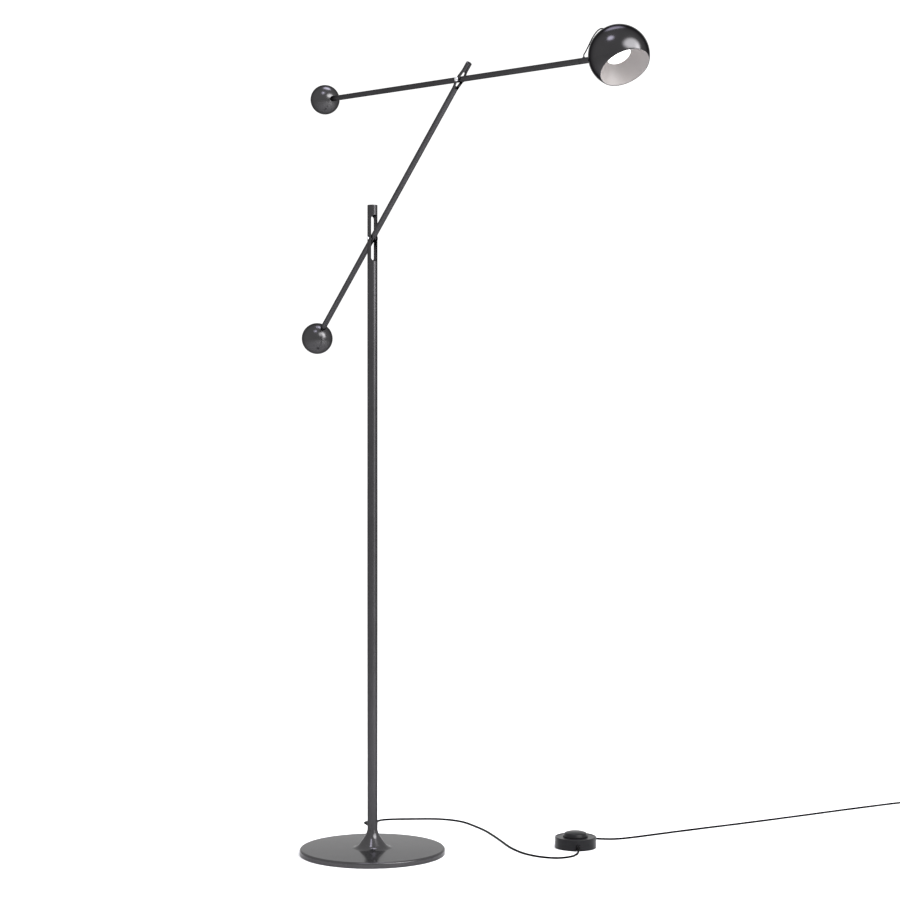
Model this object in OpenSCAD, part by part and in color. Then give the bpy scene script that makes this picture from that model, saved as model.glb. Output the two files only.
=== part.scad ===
// Adjustable arm floor lamp.
// A round weighted base carries a slotted pole. A counterweighted lower arm swings in the pole's
// slot and ends in a forked eye, a counterweighted upper arm swings in the eye, and a ball-shaped
// spot head sits on a magnet at the arm's tip, where it swivels and tilts.
// The origin is on the floor under the pole, +Z is up and +X is the side the head reaches to.

/* [Base] */
// Diameter of the round base
base_d = 282; // [240:2:320]
// Thickness of the base plate at its rim, pad included
base_t = 11.3; // [9:0.1:14]
// Thickness of the spun steel cover
cover_t = 1.6; // [1:0.1:2]
// Height where the flared neck meets the pole
neck_z = 46.5; // [42:0.5:49]
// Radius of the curve at the top of the flare
flare_neck_r = 40; // [36:1:44]
// Radius of the curve where the flare runs into the plate
flare_foot_r = 18; // [12:1:20]

/* [Pole] */
// Outer diameter of the pole
pole_d = 19.6; // [18:0.2:22]
// Wall of the pole tube
pole_wall = 2.1; // [1.8:0.1:2.2]
// Height of the pole's top
pole_top = 1256; // [1250:1:1300]
// Height of the lower pivot
pivot_z = 1191.5; // [1185:0.5:1195]
// Width of the slot through the pole's top
slot_w = 14.2; // [14:0.1:14.4]
// Length of the slot, end to end
slot_l = 90; // [84:1:96]

/* [Lower arm] */
// Diameter of the lower arm
lower_d = 11.1; // [10.8:0.1:11.4]
// Lower arm's angle above the horizontal
lower_rise = 41.4; // [30:0.1:50]
// Distance from the lower pivot to the upper pivot
lower_front = 395; // [380:1:420]
// Distance from the lower pivot to the ball's centre
lower_back = 278.5; // [260:0.5:300]
// Diameter of the lower arm's ball
lower_ball_d = 62.8; // [56:0.2:70]

/* [Upper arm] */
// Diameter of the upper arm
upper_d = 10.4; // [10:0.1:10.6]
// Upper arm's angle below the horizontal
upper_drop = 4.1; // [0:0.1:10]
// Distance from the upper pivot to the head's centre
upper_front = 450; // [430:1:470]
// Distance from the upper pivot to the ball's centre
upper_back = 475.5; // [450:0.5:490]
// Diameter of the upper arm's ball
upper_ball_d = 58.8; // [52:0.2:64]

/* [Head] */
// Diameter of the head
head_d = 100.4; // [96:0.2:104]
// How far below the horizontal the head aims
head_aim = 55.5; // [45:0.5:65]
// Distance from the head's centre to the plane of its opening
rim_h = 26.6; // [22:0.2:30]
// Radius of the light disc
disc_r = 20; // [18:0.5:22]
// Diameter of the head's lead
lead_d = 2; // [1.6:0.1:2.4]

/* [Foot switch] */
// Diameter of the foot switch
switch_d = 81.5; // [77:0.5:84]
// Height of the foot switch without its button
switch_h = 22; // [21:0.5:23]
// Direction that the switch's cord entry faces, anticlockwise from +X
switch_turn = -31.6; // [-40:0.1:-20]
// How far the button travels
button_travel = 2.5; // [2:0.1:3]
// Diameter of the mains cord
cord_d = 4; // [3.6:0.1:4.4]

/* [Hidden] */
$fn = 96;

// Colours of the finishes
gunmetal = [0.20, 0.20, 0.21];
bright_steel = [0.72, 0.72, 0.73];
zinc = [0.62, 0.63, 0.65];
cast_iron = [0.30, 0.30, 0.31];
soft_black = [0.07, 0.07, 0.08];
matt_black = [0.14, 0.14, 0.15];

// Base
base_r = base_d / 2;
pole_r = pole_d / 2;
pole_in_r = pole_r - pole_wall;
pad_t = 1.5;
cover_low_z = 0.5;
rim_edge_r = 4;
ballast_top = base_t - cover_t;
ballast_r = base_r - cover_t - 0.4;
boss_r = 19;
boss_z = 19;
stud_r = 5;
nut_pocket_r = 11;
foot_top_z = 50.3;
gland_z = 54;
slot_part_z = pivot_z - slot_l / 2 - 7;
flare_start = 11;
flare_turn = 37;
flare_centre = [pole_r + flare_neck_r * cos(flare_start), neck_z + flare_neck_r * sin(flare_start)];
flare_slope = ((flare_centre[1] - base_t - flare_foot_r)
    + (flare_foot_r - flare_neck_r) * sin(flare_turn)) / cos(flare_turn);
flare_foot_x = flare_centre[0] + flare_slope * sin(flare_turn)
    + (flare_foot_r - flare_neck_r) * cos(flare_turn);

// Pivots
lower_pin_r = 2.5;
lower_bush_r = 4.25;
lower_cap_r = 3.3;
upper_pin_r = 2;
upper_bush_r = 4;
upper_cap_r = 4.3;
cap_t = 2.6;
turn_gap = 0.05;
fit_gap = 0.02;

// Eye at the top of the lower arm: two thin prongs that bow out round the upper arm
lower_r = lower_d / 2;
lower_in_r = lower_r - 1.5;
eye_start = -26;
eye_tip = 37.5;
bow = 2.5;
bow_half = 23;
prong_in = 4;
eye_gap_half = 19;
eye_half_w = lower_r + bow;

upper_r = upper_d / 2;
upper_in_r = upper_r - 1.4;
ball_socket = 2.5;
head_r = head_d / 2;
shell_t = 1.2;
seat_gap = 0.3;
sleeve_start = 352;
seat_start = upper_front - head_r - 9;
lead_root = 358.5;
magnet_r = 3.6;

// Where the two moving frames stand
upper_pivot = [lower_front * cos(lower_rise), 0, pivot_z + lower_front * sin(lower_rise)];
head_c = upper_pivot + upper_front * [cos(upper_drop), 0, -sin(upper_drop)];

// Foot switch
switch_r = switch_d / 2;
switch_c = [180.4, 358.15, 0];
feet_t = 0.5;
housing_wall = 2.2;
button_hole_r = 24.8;
button_r = 24.2;
button_top_r = 20.8;
notch_w = 8;
notch_top = 12.4;
cord_in_z = 8;
relief_l = 13;

// Route of the head's lead, in the arms' plane, measured from the head's centre
lead_route = [
    [-90.8, 0, 13.4], [-90.55, 0, 16.4], [-86.5, 0, 20.2], [-82.5, 0, 24.4], [-78, 0, 29.2],
    [-73, 0, 35.3], [-67.6, 0, 41], [-61, 0, 46.2], [-54.5, 0, 49.8], [-48.5, 0, 51.5],
    [-42.5, 0, 51.3], [-36.5, 0, 49.5], [-32.6, 0, 46.7], [-29.95, 0, 43.55]
];

// Route of the mains cord from the pole to the foot switch
cord_r = cord_d / 2;
to_switch_route = [
    [-22.05, 0, 54], [-27, 0, 54], [-34, 4.5, 53.6], [-42, 13, 52.4], [-54, 27, 49], [-72, 44, 43],
    [-95, 63, 35], [-120, 81, 26], [-145, 99, 17.5], [-168, 115, 10.5], [-190, 130, 5.2],
    [-210, 143, 2.6], [-229, 155.5, 2], [-248, 168, 2], [-261, 181, 2], [-262.5, 200, 2],
    [-252, 224, 2], [-235, 252, 2], [-216, 281, 2], [-197, 301, 2], [-172, 314, 2],
    [-140, 319, 2], [-95, 313, 2], [-46, 303, 2], [10, 285, 2], [65, 265, 2],
    [115, 247, 2], [159, 237, 2], [185, 235.5, 2], [210, 239.5, 2], [233, 250, 2],
    [247, 265, 2], [251, 283, 2], [248, 300, 2], [244.5, 306.3, 2], [238.2, 316.8, 2.5],
    [231.6, 324.65, 4.5], [225.2, 330.4, 6.9], [220.22, 333.65, 8], [216.04, 336.22, 8]
];

// Route of the mains cord from the foot switch to its coil
to_plug_route = [
    [144.76, 380.08, 8], [140.58, 382.65, 8], [131.5, 389.2, 6.4], [123.5, 397.6, 4],
    [119.8, 408.3, 2.4],
    [122, 418.5, 2], [129, 427, 2], [139, 435, 2], [151, 445, 2], [162, 457, 2],
    [170, 471, 2], [174.5, 490, 2], [177, 515, 2], [179, 550, 2], [181.5, 600, 2],
    [184.5, 650, 2], [188, 700, 2], [192, 750, 2], [195.5, 800, 2], [198.5, 850, 2],
    [201, 900, 2], [203.5, 950, 2], [206, 1010, 2], [209, 1080, 2], [213, 1150, 2],
    [217, 1210, 2], [220, 1245, 2], [221.5, 1270, 2], [221.9, 1290, 2]
];

// Wound coil of the rest of the cord
coil_c = [252, 1290, 0];
coil_in_r = 16;
coil_out_r = 28;
coil_h = 12;

// Route of the cord's end from the coil to the plug
tail_route = [
    [252, 1320.1, 10], [262, 1320.1, 10], [272, 1320, 10], [281, 1318.5, 10], [289, 1314.5, 10],
    [294.6, 1309, 10], [297.8, 1303, 10], [299, 1297, 10], [299, 1292.05, 10]
];

// Plug, lying beside the coil
plug_c = [299, 1270, 10];
plug_turn = -90;

// Helpers ------------------------------------------------------------------------------------

function unit(v) = v / norm(v);
function ahead(route, i) = unit(route[min(i + 1, len(route) - 1)] - route[max(i - 1, 0)]);
function beside(direction) = norm(cross(direction, [0, 0, 1])) < 0.05
    ? [0, 1, 0] : unit(cross(direction, [0, 0, 1]));

// Closed tube swept along a route, with one ring at each of the route's points
module swept_cord(route, d, sides = 8) {
    count = len(route);
    points = [
        for (i = [0:count - 1])
            let (along = ahead(route, i), across = beside(along), over = cross(across, along))
            for (k = [0:sides - 1])
                route[i] + d / 2 * (cos(360 * k / sides) * across + sin(360 * k / sides) * over)
    ];
    walls = [
        for (i = [0:count - 2], k = [0:sides - 1])
            let (n = (k + 1) % sides)
            [i * sides + k, i * sides + n, (i + 1) * sides + n, (i + 1) * sides + k]
    ];
    ends = [
        [for (k = [sides - 1:-1:0]) k],
        [for (k = [0:sides - 1]) (count - 1) * sides + k]
    ];
    polyhedron(points, concat(walls, ends));
}

// Round bar along X from x0 to x1
module bar_x(r, x0, x1) {
    translate([x0, 0, 0]) rotate([0, 90, 0]) cylinder(r = r, h = x1 - x0);
}

// Round bar along Y from y0 to y1
module bar_y(r, y0, y1) {
    translate([0, y1, 0]) rotate([90, 0, 0]) cylinder(r = r, h = y1 - y0);
}

// Shape turned about X from an outline in (distance along X, radius)
module turned_x(outline) {
    rotate([0, 90, 0]) rotate_extrude() polygon([for (p = outline) [p[1], p[0]]]);
}

// Lower arm's own frame: origin at the lower pivot, +X towards the upper pivot
module on_lower_arm(x = 0) {
    translate([0, 0, pivot_z]) rotate([0, -lower_rise, 0]) translate([x, 0, 0]) children();
}

// Upper arm's own frame: origin at the upper pivot, +X towards the head
module on_upper_arm(x = 0) {
    translate(upper_pivot) rotate([0, upper_drop, 0]) translate([x, 0, 0]) children();
}

// Head's own frame: origin at its centre, +Z out of its opening
module on_head(z = 0) {
    translate(head_c) rotate([0, 90 + head_aim, 0]) translate([0, 0, z]) children();
}

// Switch's own frame: origin under its centre, +X out of its cord entry
module on_switch(z = 0) {
    translate(switch_c) rotate([0, 0, switch_turn]) translate([0, 0, z]) children();
}

// Plug's own frame: origin in the middle of its back, +X out along the blades
module on_plug() {
    translate(plug_c) rotate([0, 0, plug_turn]) children();
}

// Ball with a flat-bottomed socket for the arm's end; to_arm is +1 or -1 along X
module socket_ball(d, arm_r, to_arm) {
    difference() {
        sphere(d = d, $fn = 128);
        translate([to_arm * (d / 2 - ball_socket), 0, 0])
            rotate([0, to_arm * 90, 0])
                cylinder(r = arm_r + fit_gap, h = d);
        translate([to_arm * (d / 2 - 20), 0, 0])
            rotate([0, to_arm * 90, 0])
                cylinder(r = 3 + fit_gap, h = 20);
    }
}

// Stud inside an arm's end, with a plug that grips the tube; x0 is its end in the ball
module ball_stud(x0, plug_r) {
    bar_x(3, x0, x0 + 40);
    bar_x(plug_r - fit_gap, x0 + 20, x0 + 36);
}

// Low domed cap on a pin's end, standing on |y| = y0 and pointing along side * Y
module pin_cap(r, y0, side) {
    rise = 0.8;
    crown_r = (r * r + rise * rise) / (2 * rise);
    translate([0, side * y0, 0]) rotate([side * -90, 0, 0]) {
        intersection() {
            cylinder(r = r, h = cap_t);
            translate([0, 0, cap_t - crown_r]) sphere(r = crown_r);
        }
    }
}

// Base and pole ------------------------------------------------------------------------------

// Outline of the flare, at a distance inside its outer surface
function flare_line(inset) = concat(
    [
        for (i = [0:4])
            let (a = flare_start + (flare_turn - flare_start) * i / 4)
            flare_centre - (flare_neck_r + inset) * [cos(a), sin(a)]
    ],
    [
        for (i = [0:10])
            let (a = flare_turn + (90 - flare_turn) * i / 10)
            [flare_foot_x, base_t + flare_foot_r] - (flare_foot_r + inset) * [cos(a), sin(a)]
    ]
);

function backwards(list) = [for (i = [len(list) - 1:-1:0]) list[i]];

// Spun cover: plate, rounded rim and trumpet-shaped neck in one skin
module base_cover() {
    color(gunmetal) rotate_extrude($fn = 180) polygon(concat(
        flare_line(0),
        [
            for (a = [90:-15:0])
                [base_r - rim_edge_r, base_t - rim_edge_r] + rim_edge_r * [cos(a), sin(a)]
        ],
        [
            [base_r, cover_low_z],
            [base_r - cover_t, cover_low_z],
            [base_r - cover_t, base_t - cover_t]
        ],
        backwards(flare_line(cover_t))
    ));
}

// Cast-iron weight under the cover, with a boss inside the flare
module ballast_disc() {
    color(cast_iron) difference() {
        union() {
            translate([0, 0, pad_t]) cylinder(r = ballast_r, h = ballast_top - pad_t, $fn = 180);
            cylinder_between(boss_r, ballast_top - 1, boss_z);
        }
        cylinder_between(stud_r + fit_gap, 0, boss_z + 1);
        cylinder_between(nut_pocket_r, 0, 8);
    }
}

// Upright cylinder from z0 to z1
module cylinder_between(r, z0, z1) {
    translate([0, 0, z0]) cylinder(r = r, h = z1 - z0);
}

// Soft pad that the lamp stands on
module base_pad() {
    color(soft_black) cylinder(r = ballast_r - 1, h = pad_t, $fn = 180);
}

// Stud that pulls the pole down on the base
module pole_stud() {
    color(zinc) cylinder_between(stud_r, 2, foot_top_z - 1);
}

// Hexagon nut and washer in the ballast's pocket
module stud_nut() {
    color(zinc) difference() {
        union() {
            translate([0, 0, 2]) cylinder(r = 9.2, h = 4.6, $fn = 6);
            cylinder_between(10, 6.6, 8);
        }
        cylinder_between(stud_r + fit_gap, 0, 10);
    }
}

// Turned foot that joins the pole tube to the stud
module pole_foot() {
    color(zinc) difference() {
        union() {
            cylinder_between(pole_r - cover_t - 0.3, boss_z, neck_z);
            cylinder_between(pole_in_r - fit_gap, neck_z - 1, foot_top_z);
        }
        cylinder_between(stud_r + fit_gap, boss_z - 1, foot_top_z + 1);
    }
}

// Through slot with round ends, cut along X
module pole_slot() {
    end_z = (slot_l - slot_w) / 2;
    for (z = [-end_z, end_z])
        translate([0, 0, z]) bar_x(slot_w / 2, -pole_d, pole_d);
    translate([-pole_d, -slot_w / 2, -end_z]) cube([2 * pole_d, slot_w, 2 * end_z]);
}

// Plain tube of the pole, with the hole for the cord gland
module pole_tube() {
    color(gunmetal) difference() {
        cylinder_between(pole_r, neck_z, slot_part_z);
        cylinder_between(pole_in_r, neck_z - 1, slot_part_z + 1);
        translate([0, 0, gland_z]) bar_x(3.1 + fit_gap, -pole_d, 0);
    }
}

// Top of the pole, with its slot and its pivot holes
module pole_slot_part() {
    color(gunmetal) difference() {
        cylinder_between(pole_r, slot_part_z, pole_top - 2);
        cylinder_between(pole_in_r, slot_part_z - 1, pole_top);
        translate([0, 0, pivot_z]) pole_slot();
        translate([0, 0, pivot_z]) bar_y(lower_pin_r + fit_gap, -pole_d, pole_d);
    }
}

// Flat cap on the pole's top
module pole_cap() {
    color(gunmetal) {
        cylinder_between(pole_r, pole_top - 2, pole_top);
        cylinder_between(pole_in_r - fit_gap, pole_top - 8, pole_top - 1.5);
    }
}

// Cable inside the pole, from the gland to just below the slot
module pole_wire() {
    color(soft_black) cylinder_between(1.6, gland_z + 3.1, pivot_z - slot_l / 2 - 3);
}

// Gland and tapered strain relief in the pole's back
module cord_gland() {
    tip_x = to_switch_route[0][0];
    color(soft_black) translate([0, 0, gland_z]) turned_x([
        [3, 0], [3, 3.1], [-pole_r - 0.05, 3.1],
        [-pole_r - 0.05, 4.4], [-pole_r - 2, 4.4], [-pole_r - 2, 3.8], [tip_x, 2.6], [tip_x, 0]
    ]);
}

// Pin of the lower pivot
module lower_pin() {
    color(zinc) translate([0, 0, pivot_z]) bar_y(lower_pin_r, -pole_r, pole_r);
}

// Bright caps on the lower pivot's two ends
module lower_pin_caps() {
    color(bright_steel) translate([0, 0, pivot_z]) for (side = [-1, 1])
        pin_cap(lower_cap_r, pole_r, side);
}

// Lower arm ----------------------------------------------------------------------------------

// Straight tube of the lower arm
module lower_arm_tube() {
    start = -lower_back + lower_ball_d / 2 - ball_socket;
    end = lower_front + eye_start;
    color(gunmetal) on_lower_arm() difference() {
        bar_x(lower_r, start, end);
        bar_x(lower_in_r, start - 1, end + 1);
        bar_y(lower_bush_r + fit_gap, -lower_d, lower_d);
    }
}

// How far the eye's sides stand out of the tube's line, at a distance from the upper pivot
function bow_at(u) = abs(u) < bow_half ? bow / 2 * (1 + cos(180 * u / bow_half)) : 0;

// Cross-section of the eye: two half circles that its bow moves apart
function eye_section(u) = [
    for (side = [1, -1], k = [0:11])
        let (a = (side > 0 ? -90 : 90) + 15 * (k + 0.5))
        [u, side * bow_at(u) + lower_r * cos(a), -lower_r * sin(a)]
];

// Body of the eye before its gap is cut
module eye_body() {
    stations = concat([eye_start], [for (u = [-24:2:24]) u], [eye_tip]);
    count = len(stations);
    sides = 24;
    points = [for (u = stations) each eye_section(u)];
    walls = [
        for (i = [0:count - 2], k = [0:sides - 1])
            let (n = (k + 1) % sides, low = i * sides, high = (i + 1) * sides)
            each [[low + k, low + n, high + n], [low + k, high + n, high + k]]
    ];
    ends = [
        [for (k = [sides - 1:-1:0]) k],
        [for (k = [0:sides - 1]) (count - 1) * sides + k]
    ];
    polyhedron(points, concat(walls, ends));
}

// Outline of one side of the gap between the prongs
function eye_gap_line(side) = [
    for (u = [-eye_gap_half:2:eye_gap_half]) [u, side * (prong_in + bow_at(u))]
];

// Forked eye round the upper arm, with a solid tip beyond it
module lower_arm_eye() {
    color(gunmetal) on_lower_arm(lower_front) {
        difference() {
            eye_body();
            translate([0, 0, -lower_d]) linear_extrude(2 * lower_d)
                polygon(concat(eye_gap_line(-1), backwards(eye_gap_line(1))));
            bar_y(upper_pin_r + fit_gap, -2 * lower_d, 2 * lower_d);
        }
        bar_x(lower_in_r - fit_gap, eye_start - 10, eye_start + 1);
    }
}

// Bush of the lower pivot, fixed in the arm and turning on the pin
module lower_bush() {
    half = slot_w / 2 - 0.1;
    color(bright_steel) on_lower_arm() difference() {
        bar_y(lower_bush_r, -half, half);
        bar_y(lower_pin_r + turn_gap, -half - 1, half + 1);
    }
}

// Counterweight ball of the lower arm
module lower_ball() {
    color(gunmetal) on_lower_arm(-lower_back) socket_ball(lower_ball_d, lower_r, 1);
}

// Stud that holds the lower ball
module lower_ball_stud() {
    color(zinc) on_lower_arm() ball_stud(-lower_back + lower_ball_d / 2 - 20, lower_in_r);
}

// Cable inside the lower arm
module lower_arm_wire() {
    color(soft_black) on_lower_arm() bar_x(1.2, 6, lower_front + eye_start - 12);
}

// Pin of the upper pivot
module upper_pin() {
    color(zinc) on_lower_arm(lower_front) bar_y(upper_pin_r, -eye_half_w, eye_half_w);
}

// Bright caps on the upper pivot's two ends
module upper_pin_caps() {
    color(bright_steel) on_lower_arm(lower_front) for (side = [-1, 1])
        pin_cap(upper_cap_r, eye_half_w, side);
}

// Upper arm ----------------------------------------------------------------------------------

// Straight tube of the upper arm
module upper_arm_tube() {
    start = -upper_back + upper_ball_d / 2 - ball_socket;
    color(gunmetal) on_upper_arm() difference() {
        bar_x(upper_r, start, sleeve_start - 0.4);
        bar_x(upper_in_r, start - 1, sleeve_start + 1);
        bar_y(upper_bush_r + fit_gap, -upper_d, upper_d);
    }
}

// Bush of the upper pivot
module upper_bush() {
    half = prong_in + bow_at(upper_bush_r) - 0.1;
    color(bright_steel) on_upper_arm() difference() {
        bar_y(upper_bush_r, -half, half);
        bar_y(upper_pin_r + turn_gap, -half - 1, half + 1);
    }
}

// Counterweight ball of the upper arm
module upper_ball() {
    color(gunmetal) on_upper_arm(-upper_back) socket_ball(upper_ball_d, upper_r, 1);
}

// Stud that holds the upper ball
module upper_ball_stud() {
    color(zinc) on_upper_arm() ball_stud(-upper_back + upper_ball_d / 2 - 20, upper_in_r);
}

// Cable inside the upper arm
module upper_arm_wire() {
    color(soft_black) on_upper_arm() bar_x(1.2, 6, sleeve_start - 26);
}

// Spigot in the arm's end that the swivel sleeve turns on
module swivel_spigot() {
    color(bright_steel) on_upper_arm() {
        bar_x(upper_in_r - fit_gap, sleeve_start - 24, sleeve_start - 0.4);
        bar_x(2.8, sleeve_start - 0.5, seat_start - 3);
        bar_x(3.4, seat_start - 6, seat_start - 4);
    }
}

// Swivel sleeve with the magnet seat ---------------------------------------------------------

// Sleeve that turns on the spigot and carries the head's lead
module head_sleeve() {
    color(gunmetal) on_upper_arm() difference() {
        bar_x(upper_r, sleeve_start, seat_start);
        bar_x(2.8 + turn_gap, sleeve_start - 1, seat_start - 6.5);
        bar_x(3.6, seat_start - 6.6, seat_start + 1);
        translate([lead_root, 0, 3.4]) cylinder(r = 1.5 + fit_gap, h = 5);
    }
}

// Steel cup at the arm's tip, hollowed to the ball's shape
module seat_cup() {
    color(bright_steel) on_upper_arm() difference() {
        union() {
            bar_x(upper_r, seat_start, upper_front - head_r + 2);
            bar_x(3.6 - fit_gap, seat_start - 2, seat_start + 1);
        }
        translate([upper_front, 0, 0]) sphere(r = head_r + seat_gap, $fn = 128);
        bar_x(magnet_r + fit_gap, seat_start + 2, upper_front);
    }
}

// Magnet in the cup
module seat_magnet() {
    color(zinc) on_upper_arm() difference() {
        bar_x(magnet_r, seat_start + 2, upper_front - head_r + 2);
        translate([upper_front, 0, 0]) sphere(r = head_r + seat_gap, $fn = 128);
    }
}

// Grommet where the lead leaves the sleeve
module lead_grommet() {
    color(soft_black) on_upper_arm(lead_root) {
        translate([0, 0, 3.45]) cylinder(r = 1.5, h = 3);
        translate([0, 0, upper_r]) cylinder(r1 = 2, r2 = 1.4, h = 1.6);
    }
}

// Short lead from the sleeve to the back of the head
module head_lead() {
    color(soft_black) translate(head_c) swept_cord(lead_route, lead_d);
}

// Head ---------------------------------------------------------------------------------------

// Ball-shaped shell with its round opening
module head_shell() {
    color(gunmetal) on_head() difference() {
        sphere(r = head_r, $fn = 160);
        sphere(r = head_r - shell_t, $fn = 160);
        translate([0, 0, rim_h]) cylinder(r = head_d, h = head_d);
        translate([0, 0, -head_r - 1]) cylinder(r = 1.8 + fit_gap, h = 5);
    }
}

// Conical reflector between the light disc and the rim
module reflector() {
    skin = 0.8;
    top_r = sqrt(pow(head_r - shell_t, 2) - pow(rim_h, 2)) - 0.1;
    color([0.80, 0.78, 0.77]) on_head() rotate_extrude($fn = 128) polygon([
        [disc_r, 0], [top_r - skin, rim_h - 0.4], [top_r, rim_h - 0.4],
        [top_r, rim_h - 1.2], [disc_r + skin + 0.4, -2.2], [disc_r, -2.2]
    ]);
}

// Opal light disc at the bottom of the reflector
module light_disc() {
    color([1, 1, 1]) on_head(-2.2) cylinder(r = disc_r - fit_gap, h = 2.2);
}

// Round board with the light source
module led_board() {
    color([0.9, 0.9, 0.85]) on_head(-5) {
        cylinder(r = disc_r - 1, h = 1.6);
        translate([0, 0, 1.5]) cylinder(r = 7, h = 1);
    }
}

// Finned heat sink behind the board
module heat_sink() {
    fins = 9;
    color(zinc) on_head() difference() {
        union() {
            translate([0, 0, -8.5]) cylinder(r = disc_r + 6, h = 3.5);
            intersection() {
                for (i = [0:fins - 1])
                    translate([(i - (fins - 1) / 2) * 5.4 - 0.8, -40, -20]) cube([1.6, 80, 12]);
                translate([0, 0, -20]) cylinder(r = disc_r + 6, h = 12);
            }
        }
        for (a = [0:120:240]) rotate(a) translate([disc_r - 4, 0, -21])
            cylinder(r = 1.25 + fit_gap, h = 30, $fn = 32);
    }
}

// Three screws that hold the board to the heat sink
module board_screws() {
    color(zinc) on_head() for (a = [0:120:240]) rotate(a) translate([disc_r - 4, 0, 0]) {
        translate([0, 0, -12]) cylinder(r = 1.25, h = 7, $fn = 32);
    }
}

// Grommet where the lead enters the head's back
module head_grommet() {
    color(soft_black) on_head() {
        translate([0, 0, -head_r - 0.4]) cylinder(r = 1.8, h = 4);
        translate([0, 0, -head_r - 2.6]) cylinder(r1 = 1.5, r2 = 2.6, h = 2.6);
    }
}

// Mains cord and foot switch -----------------------------------------------------------------

// Cord from the pole's gland to the foot switch
module cord_to_switch() {
    color(soft_black) swept_cord(to_switch_route, cord_d);
}

// Rubber feet under the switch
module switch_feet() {
    color(soft_black) on_switch() for (a = [45:90:315]) rotate(a) translate([28, 0, 0])
        cylinder(r = 5, h = feet_t, $fn = 48);
}

// Floor plate of the switch
module switch_floor() {
    color(matt_black) on_switch(feet_t) difference() {
        cylinder(r = switch_r - housing_wall - 0.1, h = 2);
        for (a = [0:90:270]) rotate(a + 20) translate([33, 0, -1])
            cylinder(r = 1.3 + fit_gap, h = 4, $fn = 32);
    }
}

// Housing of the switch: wall, rounded rim, dished top and two cord notches
module switch_housing() {
    edge_r = 1.4;
    top_t = 2.2;
    dish = 0.9;
    color(matt_black) on_switch() difference() {
        rotate_extrude($fn = 128) polygon(concat(
            [[switch_r - housing_wall, feet_t], [switch_r, feet_t]],
            [
                for (a = [0:15:90])
                    [switch_r - edge_r, switch_h - edge_r] + edge_r * [cos(a), sin(a)]
            ],
            [
                [switch_r - 3, switch_h],
                [switch_r - 4, switch_h - dish],
                [button_hole_r, switch_h - dish],
                [button_hole_r, switch_h - dish - top_t],
                [switch_r - housing_wall, switch_h - dish - top_t]
            ]
        ));
        for (end = [0, 180]) rotate(end) {
            translate([0, -notch_w / 2, 0]) cube([switch_r + 1, notch_w, cord_in_z]);
            translate([0, 0, cord_in_z]) bar_x(notch_w / 2, 0, switch_r + 1);
        }
    }
}

// Four screws that close the switch from below
module switch_screws() {
    color(zinc) on_switch(feet_t) for (a = [0:90:270]) rotate(a + 20) translate([33, 0, 0])
        cylinder(r = 1.3, h = 9, $fn = 32);
}

// Contact block under the button
module contact_block() {
    color([0.85, 0.83, 0.78]) on_switch(feet_t + 2) difference() {
        translate([-14, -14, 0]) cube([28, 28, 4.4]);
        translate([0, 0, 1]) cylinder(r = 8.4, h = 4);
    }
}

// Return spring between the contact block and the button
module button_spring() {
    color(bright_steel) on_switch(feet_t + 3) difference() {
        cylinder(r = 7.5, h = 8.5);
        translate([0, 0, -1]) cylinder(r = 6, h = 11);
    }
}

// Foot button: a flared drum with a crowned top and a collar that keeps it in
module foot_button() {
    edge_z = 31;
    collar_z = switch_h - 3.3;
    crown = 1.6;
    crown_r = (pow(button_top_r - 1, 2) + pow(crown, 2)) / (2 * crown);
    crown_angle = asin((button_top_r - 1) / crown_r);
    color(matt_black) on_switch() rotate_extrude($fn = 128) polygon(concat(
        [[0, 12], [26.2, 12], [26.2, collar_z], [button_r, collar_z], [button_r, switch_h]],
        [[button_top_r, edge_z - 0.8]],
        [
            for (i = [6:-1:0])
                let (a = crown_angle * i / 6)
                [crown_r * sin(a), edge_z + crown - crown_r * (1 - cos(a))]
        ]
    ));
}

// Tapered relief in a cord notch, pointing out of the switch along +X
module notch_relief() {
    turned_x([
        [switch_r + 1 - relief_l, 0], [switch_r + 1 - relief_l, 3.6],
        [switch_r - 8, 3.6], [switch_r + 1, 2.7], [switch_r + 1, 0]
    ]);
}

// Relief of the cord from the pole
module relief_in() {
    color(soft_black) on_switch(cord_in_z) notch_relief();
}

// Relief of the cord to the plug
module relief_out() {
    color(soft_black) on_switch(cord_in_z) rotate([0, 0, 180]) notch_relief();
}

// Cord from the foot switch to its coil
module cord_to_plug() {
    color(soft_black) swept_cord(to_plug_route, cord_d);
}

// Outer shape of the wound coil
module cord_coil() {
    color(soft_black) translate(coil_c) rotate_extrude()
        translate([coil_in_r, 0]) square([coil_out_r - coil_in_r, coil_h]);
}

// Tie round the coil
module coil_tie() {
    color(matt_black) translate(coil_c) rotate(-60) translate([0, coil_in_r - 1, 0]) difference() {
        translate([-3, -1, 0]) cube([6, coil_out_r - coil_in_r + 4, coil_h + 1]);
        translate([-4, 0.5, -1]) cube([8, coil_out_r - coil_in_r + 0.6, coil_h + 1]);
    }
}

// End of the cord, from the coil to the plug
module cord_tail() {
    color(soft_black) swept_cord(tail_route, cord_d);
}

// Tapered relief at the plug's back
module plug_relief() {
    color(soft_black) on_plug() turned_x([[-22, 0], [-22, 2.6], [0, 4], [0, 0]]);
}

// Two-blade plug
module plug_body() {
    color(soft_black) on_plug() hull() for (y = [-8, 8], z = [-6, 6])
        translate([0, y, z]) bar_x(4, 0, 24, $fn = 32);
}

// Flat blades of the plug
module plug_blades() {
    color(bright_steel) on_plug() for (y = [-6.35, 6.35])
        translate([24, y - 0.75, -3.2]) cube([17, 1.5, 6.4]);
}

// Nodes --------------------------------------------------------------------------------------

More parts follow.
